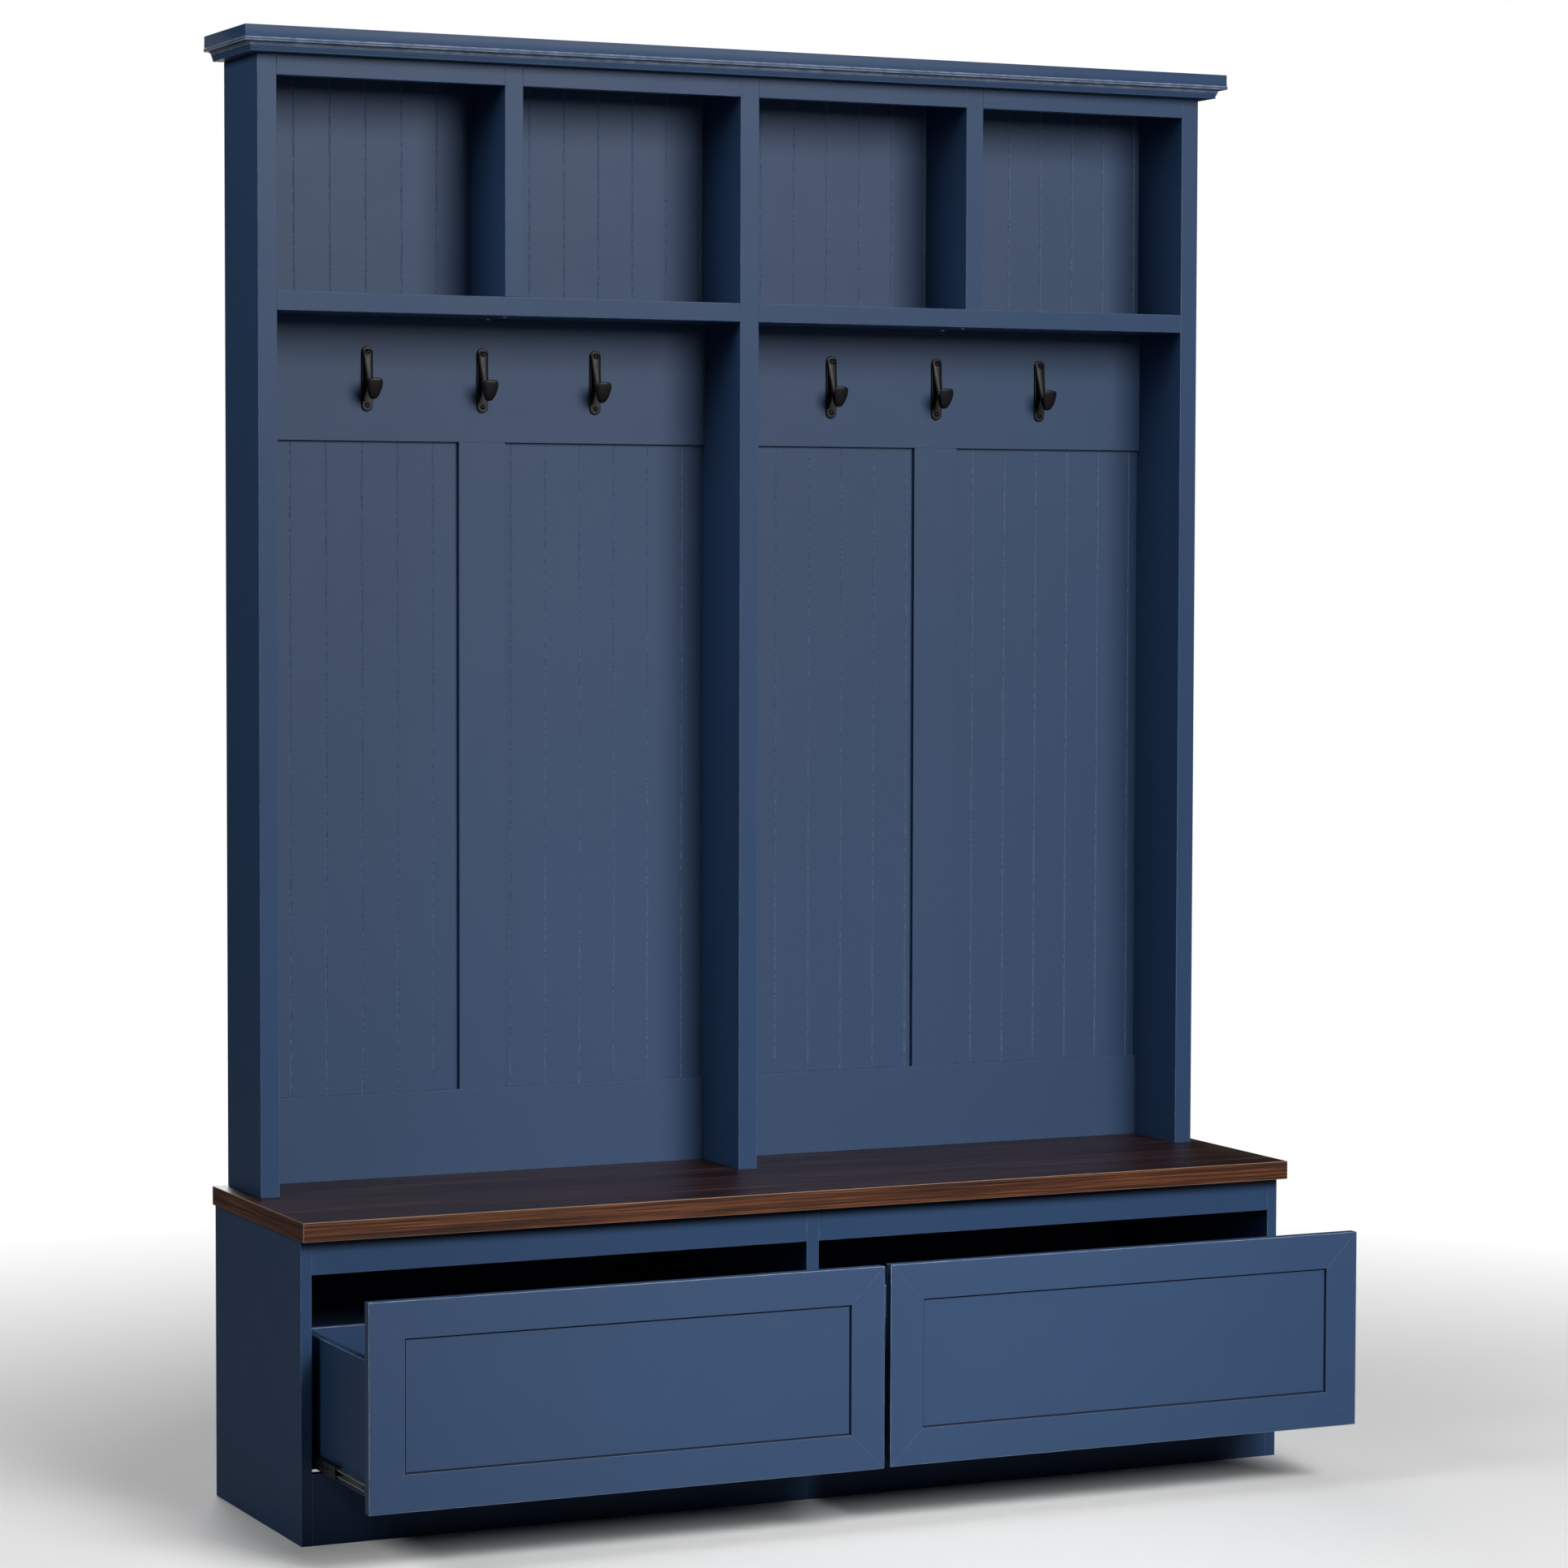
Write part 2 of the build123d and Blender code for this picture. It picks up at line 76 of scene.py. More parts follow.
def new_material(name, colour, roughness, metallic=0.0):
    """A material, its nodes and links, and its Principled shader with plain values."""
    material = bpy.data.materials.new(name)
    material.use_nodes = True
    tree = material.node_tree
    shader = tree.nodes["Principled BSDF"]
    shader.inputs["Base Color"].default_value = (*colour, 1)
    shader.inputs["Roughness"].default_value = roughness
    shader.inputs["Metallic"].default_value = metallic
    return material, tree.nodes, tree.links, shader


MIX_A, MIX_B, MIXED = 6, 7, 2     # The colour sockets of a Mix node, by place.
FLOOR_REACH = 20
FLOOR_TONE = (0.88, 0.88, 0.88)
FLOOR_BOUNCE_TONE = (0.2, 0.2, 0.2)
FADE_START, FADE_END = 0.9, 2.6   # How far from the middle the floor turns white.


def studio_floor():
    """The floor, seen in a pale tone and darker in the light that it throws back."""
    bm = bmesh.new()
    bmesh.ops.create_grid(bm, x_segments=1, y_segments=1, size=FLOOR_REACH)
    mesh = bpy.data.meshes.new("studio_floor")
    bm.to_mesh(mesh)
    bm.free()
    floor = bpy.data.objects.new("studio_floor", mesh)
    bpy.context.scene.collection.objects.link(floor)
    material, nodes, links, shader = new_material("pale_floor", FLOOR_TONE, 0.8)
    mesh.materials.append(material)
    tone = shader_node(nodes, "ShaderNodeMix", data_type="RGBA")
    tone.inputs[MIX_A].default_value = (*FLOOR_BOUNCE_TONE, 1)
    tone.inputs[MIX_B].default_value = (*FLOOR_TONE, 1)
    place = nodes.new("ShaderNodeTexCoord")
    distance = shader_node(nodes, "ShaderNodeVectorMath", operation="LENGTH")
    fade = shader_node(nodes, "ShaderNodeMapRange",
                       {"From Min": FADE_START, "From Max": FADE_END})
    seen = shader_node(nodes, "ShaderNodeLightPath")
    amount = shader_node(nodes, "ShaderNodeMath", operation="MULTIPLY")
    white = shader_node(nodes, "ShaderNodeEmission", {"Color": (1, 1, 1, 1), "Strength": 1.0})
    mix = shader_node(nodes, "ShaderNodeMixShader")
    links.new(place.outputs["Object"], distance.inputs[0])
    links.new(distance.outputs["Value"], fade.inputs["Value"])
    links.new(fade.outputs[0], amount.inputs[0])
    links.new(seen.outputs["Is Camera Ray"], amount.inputs[1])
    links.new(seen.outputs["Is Camera Ray"], tone.inputs[0])
    links.new(tone.outputs[MIXED], shader.inputs["Base Color"])
    links.new(amount.outputs[0], mix.inputs[0])
    links.new(shader.outputs[0], mix.inputs[1])
    links.new(white.outputs[0], mix.inputs[2])
    links.new(mix.outputs[0], nodes["Material Output"].inputs["Surface"])


def soft_light(name, place, target, size, power, spread=180):
    """A rectangular light at a place, turned to its target; its power is in watts."""
    data = bpy.data.lights.new(name, "AREA")
    data.shape = "RECTANGLE"
    data.spread = math.radians(spread)
    data.size, data.size_y = size
    data.energy = power
    light = bpy.data.objects.new(name, data)
    bpy.context.scene.collection.objects.link(light)
    aim = (Vector(target) - Vector(place)).to_track_quat("-Z", "Y")
    light.matrix_world = Matrix.Translation(place) @ aim.to_matrix().to_4x4()


def surround(seen, lit):
    """White where it is seen, and dimmer where it lights the object."""
    world = bpy.data.worlds.new("surround")
    bpy.context.scene.world = world
    world.use_nodes = True
    nodes, links = world.node_tree.nodes, world.node_tree.links
    light = nodes["Background"]
    light.inputs["Color"].default_value = (1, 1, 1, 1)
    light.inputs["Strength"].default_value = lit
    backdrop = shader_node(nodes, "ShaderNodeBackground", {"Color": (1, 1, 1, 1), "Strength": seen})
    path = shader_node(nodes, "ShaderNodeLightPath")
    mix = shader_node(nodes, "ShaderNodeMixShader")
    links.new(path.outputs["Is Camera Ray"], mix.inputs[0])
    links.new(light.outputs[0], mix.inputs[1])
    links.new(backdrop.outputs[0], mix.inputs[2])
    links.new(mix.outputs[0], nodes["World Output"].inputs["Surface"])


studio_floor()
surround(seen=1.0, lit=0.03)
soft_light("front_light", place=(1.3, -5.0, 3.25), target=(0, 0, 1.2), size=(2.8, 2.6),
           power=250)
soft_light("drawer_light", place=(0.5, -2.7, 2.0), target=(0, -0.4, 0.1), size=(1.2, 0.8),
           power=4.6, spread=50)
soft_light("left_light", place=(-3.4, -0.8, 3.0), target=(-0.7, 0, 1.7), size=(1.4, 1.4),
           power=52)
soft_light("back_light", place=(0.5, 5.2, 2.6), target=(0, 0, 1.0), size=(2.2, 1.8),
           power=120)


# ---- Painted boards of the base -------------------------------------------------------------
# The bench base is a box of medium-density fibreboard panels, sprayed a satin navy: two ends,
# a centre panel, a top and a lower rail on each side of it, and a thin back in grooves.
# They are held by dowels and cam locks, so no fixing shows on the outside.
def arris_group():
    """A mask of the narrow eased faces along a board's edges, broken up in places; its lighter
    colour is partly rubbed paint and partly painted highlight.
    """
    group = bpy.data.node_groups.new("arris", "ShaderNodeTree")
    for name in ("Breakup", "Least"):
        group.interface.new_socket(name, in_out="INPUT", socket_type="NodeSocketFloat")
    group.interface.new_socket("Mask", in_out="OUTPUT", socket_type="NodeSocketFloat")
    nodes, links = group.nodes, group.links
    entry = nodes.new("NodeGroupInput")
    result = nodes.new("NodeGroupOutput")
    geometry = nodes.new("ShaderNodeNewGeometry")
    size = shader_node(nodes, "ShaderNodeVectorMath", operation="ABSOLUTE")
    parts = nodes.new("ShaderNodeSeparateXYZ")
    widest = shader_node(nodes, "ShaderNodeMath", operation="MAXIMUM")
    widest_of_all = shader_node(nodes, "ShaderNodeMath", operation="MAXIMUM")
    slant = shader_node(nodes, "ShaderNodeMapRange",
                        {"From Min": 0.997, "From Max": 0.95, "To Min": 0.0, "To Max": 1.0})
    place = nodes.new("ShaderNodeTexCoord")
    noise = shader_node(nodes, "ShaderNodeTexNoise", {"Detail": 3.0, "Roughness": 0.6})
    patchy = shader_node(nodes, "ShaderNodeMapRange", {"From Min": 0.4, "From Max": 0.6})
    mask = shader_node(nodes, "ShaderNodeMath", operation="MULTIPLY")
    links.new(geometry.outputs["True Normal"], size.inputs[0])
    links.new(size.outputs[0], parts.inputs[0])
    links.new(parts.outputs["X"], widest.inputs[0])
    links.new(parts.outputs["Y"], widest.inputs[1])
    links.new(widest.outputs[0], widest_of_all.inputs[0])
    links.new(parts.outputs["Z"], widest_of_all.inputs[1])
    links.new(widest_of_all.outputs[0], slant.inputs["Value"])
    links.new(place.outputs["Object"], noise.inputs["Vector"])
    links.new(entry.outputs["Breakup"], noise.inputs["Scale"])
    links.new(entry.outputs["Least"], patchy.inputs["To Min"])
    links.new(noise.outputs["Fac"], patchy.inputs["Value"])
    links.new(slant.outputs[0], mask.inputs[0])
    links.new(patchy.outputs[0], mask.inputs[1])
    links.new(mask.outputs[0], result.inputs["Mask"])
    return group


def mottle_group():
    """A slow, slight change over a surface, from Low to High, for colour and for gloss."""
    group = bpy.data.node_groups.new("mottle", "ShaderNodeTree")
    for name in ("Scale", "Low", "High"):
        group.interface.new_socket(name, in_out="INPUT", socket_type="NodeSocketFloat")
    group.interface.new_socket("Value", in_out="OUTPUT", socket_type="NodeSocketFloat")
    nodes, links = group.nodes, group.links
    entry = nodes.new("NodeGroupInput")
    result = nodes.new("NodeGroupOutput")
    place = nodes.new("ShaderNodeTexCoord")
    noise = shader_node(nodes, "ShaderNodeTexNoise", {"Detail": 4.0, "Roughness": 0.55})
    spread = shader_node(nodes, "ShaderNodeMapRange", {"From Min": 0.3, "From Max": 0.7})
    links.new(place.outputs["Object"], noise.inputs["Vector"])
    links.new(entry.outputs["Scale"], noise.inputs["Scale"])
    links.new(noise.outputs["Fac"], spread.inputs["Value"])
    links.new(entry.outputs["Low"], spread.inputs["To Min"])
    links.new(entry.outputs["High"], spread.inputs["To Max"])
    links.new(spread.outputs[0], result.inputs["Value"])
    return group


def grain_bump(nodes, links, shader, scale, depth, stretch=(1, 1, 1), strength=0.5):
    """A fine texture in the surface, squeezed along each axis by stretch."""
    place = nodes.new("ShaderNodeTexCoord")
    mapping = shader_node(nodes, "ShaderNodeMapping", {"Scale": stretch})
    noise = shader_node(nodes, "ShaderNodeTexNoise", {"Scale": scale, "Detail": 2.0})
    bump = shader_node(nodes, "ShaderNodeBump", {"Strength": strength, "Distance": depth})
    links.new(place.outputs["Object"], mapping.inputs["Vector"])
    links.new(mapping.outputs[0], noise.inputs["Vector"])
    links.new(noise.outputs["Fac"], bump.inputs["Height"])
    links.new(bump.outputs["Normal"], shader.inputs["Normal"])


ARRIS = arris_group()
MOTTLE = mottle_group()
GLOSS_CHANGE = 0.01


def satin_paint(name, colour, rubbed_and_highlight_colour, roughness, specular=0.25, breakup=60.0, least=0.5, rubbed_and_highlight_share=0.75):
    """Sprayed paint: slight clouds of tone, orange peel, and arrises in a lighter colour.

    That colour is partly paint rubbed thin and partly painted highlight. The share given for
    it is how much of it shows, breakup how finely it is broken up along an arris, and least
    how much of it is left in the gaps."""
    material, nodes, links, shader = new_material(name, colour, roughness)
    shader.inputs["Specular IOR Level"].default_value = specular
    clouds = shader_node(nodes, "ShaderNodeGroup", node_tree=MOTTLE)
    for socket, value in (("Scale", 1.7), ("Low", 0.96), ("High", 1.04)):
        clouds.inputs[socket].default_value = value
    tone = shader_node(nodes, "ShaderNodeHueSaturation", {"Color": (*colour, 1)})
    arris = shader_node(nodes, "ShaderNodeGroup", node_tree=ARRIS)
    arris.inputs["Breakup"].default_value = breakup
    arris.inputs["Least"].default_value = least
    amount = shader_node(nodes, "ShaderNodeMath", operation="MULTIPLY")
    amount.inputs[1].default_value = rubbed_and_highlight_share
    mix = shader_node(nodes, "ShaderNodeMix", data_type="RGBA")
    mix.inputs[MIX_B].default_value = (*rubbed_and_highlight_colour, 1)
    gloss = shader_node(nodes, "ShaderNodeGroup", node_tree=MOTTLE)
    for socket, value in (("Scale", 14.0), ("Low", roughness - GLOSS_CHANGE),
                          ("High", roughness + GLOSS_CHANGE)):
        gloss.inputs[socket].default_value = value
    links.new(clouds.outputs[0], tone.inputs["Value"])
    links.new(tone.outputs[0], mix.inputs[MIX_A])
    links.new(arris.outputs[0], amount.inputs[0])
    links.new(amount.outputs[0], mix.inputs[0])
    links.new(mix.outputs[MIXED], shader.inputs["Base Color"])
    links.new(gloss.outputs[0], shader.inputs["Roughness"])
    grain_bump(nodes, links, shader, scale=420, depth=0.00012, strength=0.35)
    return material


SAME_PLACE = 1e-5
FLAT_WITHIN = math.radians(0.5)


def on_outline(edge, low, high):
    """Whether an edge runs along the outline of a board's own box."""
    held = 0
    for axis in range(3):
        ends = [vert.co[axis] for vert in edge.verts]
        for limit in (low[axis], high[axis]):
            held += all(abs(end - limit) < SAME_PLACE for end in ends)
    return held >= 2


def merged_copy(node):
    """A CAD node's triangles, joined up and cleared of the lines across its flat faces."""
    bm = bmesh.new()
    bm.from_mesh(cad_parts[node].data)
    bmesh.ops.remove_doubles(bm, verts=bm.verts, dist=SAME_PLACE)
    bmesh.ops.dissolve_limit(bm, angle_limit=FLAT_WITHIN, verts=bm.verts, edges=bm.edges)
    return bm


def ease(bm, edges, width, segments=3):
    """Rounds edges over, as sanding and paint do."""
    bmesh.ops.bevel(bm, geom=edges, offset=width, offset_type="OFFSET", segments=segments,
                    profile=0.5, affect="EDGES", clamp_overlap=True, material=-1)


def make_piece(bm, name, materials, body, replaced=(), smooth_angle=None):
    """A finished object from a bmesh, riding on its body."""
    mesh = bpy.data.meshes.new(name)
    bm.to_mesh(mesh)
    bm.free()
    for material in materials:
        mesh.materials.append(material)
    if smooth_angle is not None:
        mesh.shade_smooth()
        mesh.set_sharp_from_angle(angle=math.radians(smooth_angle))
    piece = bpy.data.objects.new(name, mesh)
    bpy.context.scene.collection.objects.link(piece)
    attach(piece, body)
    if replaced:
        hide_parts(*replaced)


CARCASS = "carcass"
BOARD_ARRIS = 0.0009


def painted_board(node, body, arris=BOARD_ARRIS, paint=None):
    """A painted board in place of its CAD node, with its arrises eased."""
    bm = merged_copy(node)
    low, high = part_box(node)
    ease(bm, [edge for edge in bm.edges if on_outline(edge, low, high)], arris)
    make_piece(bm, f"{node}_painted", [paint or navy_paint], body, [node])


NAVY = (0.0225, 0.0565, 0.133)
# The lighter arris colour is partly paint rubbed thin and partly painted highlight along the edges.
WORN_AND_HIGHLIGHT_NAVY = (0.12, 0.175, 0.27)
navy_paint = satin_paint("navy_paint", NAVY, WORN_AND_HIGHLIGHT_NAVY, roughness=0.46)
for node in ("base_side_left", "base_side_right", "base_centre_panel", "base_top_rail_left",
             "base_top_rail_right", "base_lower_rail_left", "base_lower_rail_right",
             "base_back_panel"):
    painted_board(node, CARCASS)


# ---- Bench top ------------------------------------------------------------------------------
# A 26 mm board faced with a dark walnut-grain laminate. Its front and ends carry a warmer
# edge band, glued on and trimmed, and every arris is coloured as a thin pale line.
def walnut(name, stretch, tones, roughness, pore_stretch):
    """Printed wood grain: broad streaks with finer dark ones in them, along one direction."""
    material, nodes, links, shader = new_material(name, tones[1], roughness)
    shader.inputs["Specular IOR Level"].default_value = 0.3
    place = nodes.new("ShaderNodeTexCoord")
    broad_map = shader_node(nodes, "ShaderNodeMapping", {"Scale": stretch})
    broad = shader_node(nodes, "ShaderNodeTexNoise",
                        {"Scale": 1.0, "Detail": 7.0, "Roughness": 0.62, "Distortion": 0.35})
    ramp = nodes.new("ShaderNodeValToRGB")
    stops = ramp.color_ramp.elements
    for stop, position, tone in zip(stops, (0.34, 0.66), (tones[0], tones[2])):
        stop.position, stop.color = position, (*tone, 1)
    stops.new(0.5).color = (*tones[1], 1)
    pore_map = shader_node(nodes, "ShaderNodeMapping", {"Scale": pore_stretch})
    pores = shader_node(nodes, "ShaderNodeTexNoise", {"Scale": 1.0, "Detail": 3.0})
    pore_depth = shader_node(nodes, "ShaderNodeMapRange",
                             {"From Min": 0.40, "From Max": 0.56, "To Min": 0.36, "To Max": 1.0})
    streaks = shader_node(nodes, "ShaderNodeMix", data_type="RGBA", blend_type="MULTIPLY")
    streaks.inputs[0].default_value = 1.0
    gloss = shader_node(nodes, "ShaderNodeMapRange",
                        {"To Min": roughness + 0.08, "To Max": roughness - 0.04})
    bump = shader_node(nodes, "ShaderNodeBump", {"Strength": 0.3, "Distance": 0.0002})
    links.new(place.outputs["Object"], broad_map.inputs["Vector"])
    links.new(place.outputs["Object"], pore_map.inputs["Vector"])
    links.new(broad_map.outputs[0], broad.inputs["Vector"])
    links.new(pore_map.outputs[0], pores.inputs["Vector"])
    links.new(broad.outputs["Fac"], ramp.inputs["Fac"])
    links.new(pores.outputs["Fac"], pore_depth.inputs["Value"])
    links.new(ramp.outputs["Color"], streaks.inputs[MIX_A])
    links.new(pore_depth.outputs[0], streaks.inputs[MIX_B])
    links.new(streaks.outputs[MIXED], shader.inputs["Base Color"])
    links.new(pores.outputs["Fac"], gloss.inputs["Value"])
    links.new(gloss.outputs[0], shader.inputs["Roughness"])
    links.new(pores.outputs["Fac"], bump.inputs["Height"])
    links.new(bump.outputs["Normal"], shader.inputs["Normal"])
    return material


TOP_TONES = ((0.009, 0.004, 0.004), (0.032, 0.013, 0.010), (0.080, 0.035, 0.028))
BAND_TONES = ((0.022, 0.006, 0.003), (0.094, 0.028, 0.009), (0.230, 0.080, 0.030))
laminate = walnut("walnut_laminate", stretch=(1.8, 70, 70), tones=TOP_TONES, roughness=0.38,
                  pore_stretch=(6, 420, 420))
front_band = walnut("walnut_front_band", stretch=(2.6, 40, 300), tones=BAND_TONES,
                    roughness=0.42, pore_stretch=(9, 40, 1100))
end_band = walnut("walnut_end_band", stretch=(40, 2.6, 300), tones=BAND_TONES,
                  roughness=0.42, pore_stretch=(40, 9, 1100))
band_line = satin_paint("band_line", (0.22, 0.13, 0.085), (0.34, 0.22, 0.15), roughness=0.5)
LAMINATE_ARRIS = 0.0008
SQUARE_ON = 0.99              # How far a face's normal runs along an axis to count as square.
FINISH_BY_AXIS = (2, 1, 0)    # The ends, the front and back, then the top and underside.
ARRIS_FINISH = 3


def bench_top():
    """The board with its faces, bands and arrises each in their own finish."""
    bm = merged_copy("bench_top")
    ease(bm, list(bm.edges), LAMINATE_ARRIS)
    bm.normal_update()
    for face in bm.faces:
        size = [abs(value) for value in face.normal]
        axis = size.index(max(size))
        face.material_index = FINISH_BY_AXIS[axis] if size[axis] > SQUARE_ON else ARRIS_FINISH
    make_piece(bm, "bench_top_laminated", [laminate, front_band, end_band, band_line], CARCASS,
               ["bench_top"])


bench_top()

# ---- Hutch uprights, shelves and frieze rails ----------------------------------------------
# The hutch stands on the bench: two ends and a centre upright run the full height, shelves
# lie between them, short uprights split the cubbies, and a rail closes each cubby's top.
for node in ("hutch_side_left", "hutch_side_right", "hutch_centre_upright", "shelf_left",
             "shelf_right", "cubby_upright_left", "cubby_upright_right", "hutch_top_board",
             "frieze_rails"):
    painted_board(node, CARCASS)

# ---- Hutch back -----------------------------------------------------------------------------
# Each coat bay has a hook board, a middle stile and a bottom board, with beadboard panels
# held in grooves between them. Four more panels of the same kind close the cubbies.
SEAM = 0.0005
# On the back paint the lighter colour falls in dotted specks along the slanted groove walls and
# seams: painted highlight.
back_paint = satin_paint("back_paint", NAVY, (0.16, 0.22, 0.32), roughness=0.56,
                         specular=0.45, breakup=260.0, least=0.0, rubbed_and_highlight_share=0.35)
for side in ("left", "right"):
    for kind in ("hook_board", "mid_stile", "bottom_board"):
        painted_board(f"{kind}_{side}", CARCASS, arris=SEAM, paint=back_paint)
for number in range(1, 5):
    for kind in ("cubby_back_panel", "bay_back_panel"):
        painted_board(f"{kind}_{number}", CARCASS, arris=SEAM, paint=back_paint)


# ---- Cornice ----------------------------------------------------------------------------------
# A crown moulding run along the front and both ends of the top board, mitred at the front
# corners: a tall flat, a bead, a cove and a small foot, glued and pinned from behind.
SHARP_ANGLE = math.radians(40)
CORNER_ARRIS, MOULDING_ARRIS = 0.0009, 0.0004
CORNER_DEPTH, CORNER_HEIGHT = 0.002, 0.01


def cornice(node):
    """A run of the moulding, its edges eased: the upright corners most, which catch light."""
    bm = merged_copy(node)
    sharp = [edge for edge in bm.edges
             if len(edge.link_faces) == 2 and edge.calc_face_angle() > SHARP_ANGLE]
    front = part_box("cornice_front")[0].y
    corner = [edge for edge in sharp
              if all(abs(vert.co.y - front) < CORNER_DEPTH for vert in edge.verts)
              and abs(edge.verts[0].co.z - edge.verts[1].co.z) > CORNER_HEIGHT]
    others = [edge for edge in sharp if edge not in corner]
    ease(bm, corner, CORNER_ARRIS)
    ease(bm, [edge for edge in others if edge.is_valid], MOULDING_ARRIS, segments=2)
    make_piece(bm, f"{node}_painted", [edge_paint], CARCASS, [node],
               smooth_angle=28)


# Edge paint's paler, stronger arris colour is painted highlight with a little rubbed paint: on the
# cornice corners, the drawer boxes and the drawer front rails.
edge_paint = satin_paint("edge_paint", NAVY, (0.27, 0.33, 0.43), roughness=0.46, rubbed_and_highlight_share=0.9)
for node in ("cornice_front", "cornice_left", "cornice_right"):
    cornice(node)


# ---- Coat hooks -------------------------------------------------------------------------------
# Each hook is one iron casting in satin black: an oblong plate with round ends, a rib that
# leans out from the top screw, and a J bend that ends in a flared, domed tip.
def cast_black():
    """Satin black on iron, with the slight grain of the casting under it."""
    material, nodes, links, shader = new_material("cast_black", (0.007, 0.007, 0.008), 0.4)
    shader.inputs["Specular IOR Level"].default_value = 0.22
    gloss = shader_node(nodes, "ShaderNodeGroup", node_tree=MOTTLE)
    for socket, value in (("Scale", 90.0), ("Low", 0.28), ("High", 0.46)):
        gloss.inputs[socket].default_value = value
    links.new(gloss.outputs[0], shader.inputs["Roughness"])
    grain_bump(nodes, links, shader, scale=700, depth=0.0001, strength=0.3)
    return material


def box_bmesh(low, high):
    """A box between two corners, from a cube."""
    bm = bmesh.new()
    bmesh.ops.create_cube(bm, size=1)
    size = [b - a for a, b in zip(low, high)]
    middle = [(a + b) / 2 for a, b in zip(low, high)]
    bmesh.ops.scale(bm, vec=size, verts=bm.verts)
    bmesh.ops.translate(bm, vec=middle, verts=bm.verts)
    return bm


def applied(bm, *modifiers):
    """The bmesh after some modifiers, each given as its type and settings."""
    mesh = bpy.data.meshes.new("shaping")
    bm.to_mesh(mesh)
    bm.free()
    holder = bpy.data.objects.new("shaping", mesh)
    bpy.context.scene.collection.objects.link(holder)
    for kind, settings in modifiers:
        modifier = holder.modifiers.new(kind, kind)
        for key, value in settings.items():
            setattr(modifier, key, value)
    seen = holder.evaluated_get(bpy.context.evaluated_depsgraph_get())
    result = bmesh.new()
    result.from_mesh(bpy.data.meshes.new_from_object(seen))
    bpy.data.objects.remove(holder)
    bpy.data.meshes.remove(mesh)
    return result


def add_bmesh(target, source):
    """Adds one bmesh's shape to another."""
    mesh = bpy.data.meshes.new("joining")
    source.to_mesh(mesh)
    source.free()
    target.from_mesh(mesh)
    bpy.data.meshes.remove(mesh)


# Sections of the arm from the top screw to the tip's end, in millimetres: the reach out from
# the board, the drop below the plate's top, the width, the thickness and the lean in degrees.
ARM_SECTIONS = (
    (2.2, 3.0, 13.4, 2.2, 0), (3.0, 8.0, 15.0, 2.8, -3), (4.2, 18.0, 15.4, 3.8, -7),
    (7.0, 33.0, 13.6, 5.4, -12), (11.0, 49.0, 11.4, 6.4, -16), (15.4, 62.0, 9.6, 6.4, -28),
    (20.4, 70.0, 9.0, 5.8, -62), (26.0, 73.2, 10.4, 5.4, -95), (30.2, 69.6, 14.6, 5.2, -138),
    (32.6, 63.0, 20.4, 5.4, -158), (34.2, 55.0, 24.6, 5.2, -167), (35.4, 48.6, 25.0, 4.6, -172),
    (36.0, 44.4, 19.0, 3.4, -178),
)


def section_place(board_y, top_z, section):
    """Where a unit square goes to become one section of the arm."""
    reach, drop, width, thickness, lean = section
    return (Matrix.Translation((0, board_y - reach / 1000, top_z - drop / 1000))
            @ Matrix.Rotation(math.radians(lean), 4, "X")
            @ Matrix.Diagonal((width / 1000, thickness / 1000, 1, 1)))


def hook_arm(board_y, top_z):
    """One section extruded after another along the arm, then rounded by subdivision."""
    places = [section_place(board_y, top_z, section) for section in ARM_SECTIONS]
    bm = bmesh.new()
    bmesh.ops.create_grid(bm, x_segments=1, y_segments=1, size=0.5)
    bmesh.ops.transform(bm, matrix=places[0], verts=bm.verts)
    face = list(bm.faces)[0]
    for before, after in zip(places, places[1:]):
        face = bmesh.ops.extrude_discrete_faces(bm, faces=[face])["faces"][0]
        bmesh.ops.transform(bm, matrix=after @ before.inverted(), verts=face.verts)
    bmesh.ops.holes_fill(bm, edges=bm.edges)
    bmesh.ops.recalc_face_normals(bm, faces=bm.faces)
    return applied(bm, ("SUBSURF", {"levels": 3, "render_levels": 3}))


PLATE_WIDTH, PLATE_THICKNESS = 0.0165, 0.003
PLATE_END_FLAT = 0.0001       # What stays straight at the middle of a round end.
PLATE_EDGE = 0.0009
CASTING_GRAIN = 0.0006


def hook_plate(board_y, low_z, high_z):
    """The oblong back plate: square corners rounded right over, then a softened front edge."""
    half, face_y = PLATE_WIDTH / 2, board_y - PLATE_THICKNESS
    bm = box_bmesh((-half, face_y, low_z), (half, board_y, high_z))
    corners = [edge for edge in bm.edges
               if abs(edge.verts[0].co.y - edge.verts[1].co.y) > PLATE_THICKNESS / 2]
    ease(bm, corners, half - PLATE_END_FLAT, segments=10)
    front = [edge for edge in bm.edges
             if all(abs(vert.co.y - face_y) < SAME_PLACE for vert in edge.verts)]
    ease(bm, front, PLATE_EDGE, segments=3)
    return bm


def coat_hook_casting():
    """The whole casting at the middle of the width, with its arm grown out of its plate."""
    low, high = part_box("coat_hook_1")
    bm = hook_plate(high.y, low.z, high.z)
    add_bmesh(bm, hook_arm(high.y, high.z))
    bm = applied(bm, ("REMESH", {"mode": "VOXEL", "voxel_size": CASTING_GRAIN}))
    for _ in range(2):
        bmesh.ops.smooth_vert(bm, verts=bm.verts, factor=0.5, use_axis_x=True,
                              use_axis_y=True, use_axis_z=True)
    return bm


hook_black = cast_black()
casting = coat_hook_casting()
hook_places = []
for number in range(1, 7):
    node = f"coat_hook_{number}"
    low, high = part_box(node)
    hook_places.append(((low.x + high.x) / 2, high.y, high.z))
    bm = casting.copy()
    bmesh.ops.translate(bm, vec=(hook_places[-1][0], 0, 0), verts=bm.verts)
    make_piece(bm, f"{node}_cast", [hook_black], CARCASS, [node], smooth_angle=80)
casting.free()


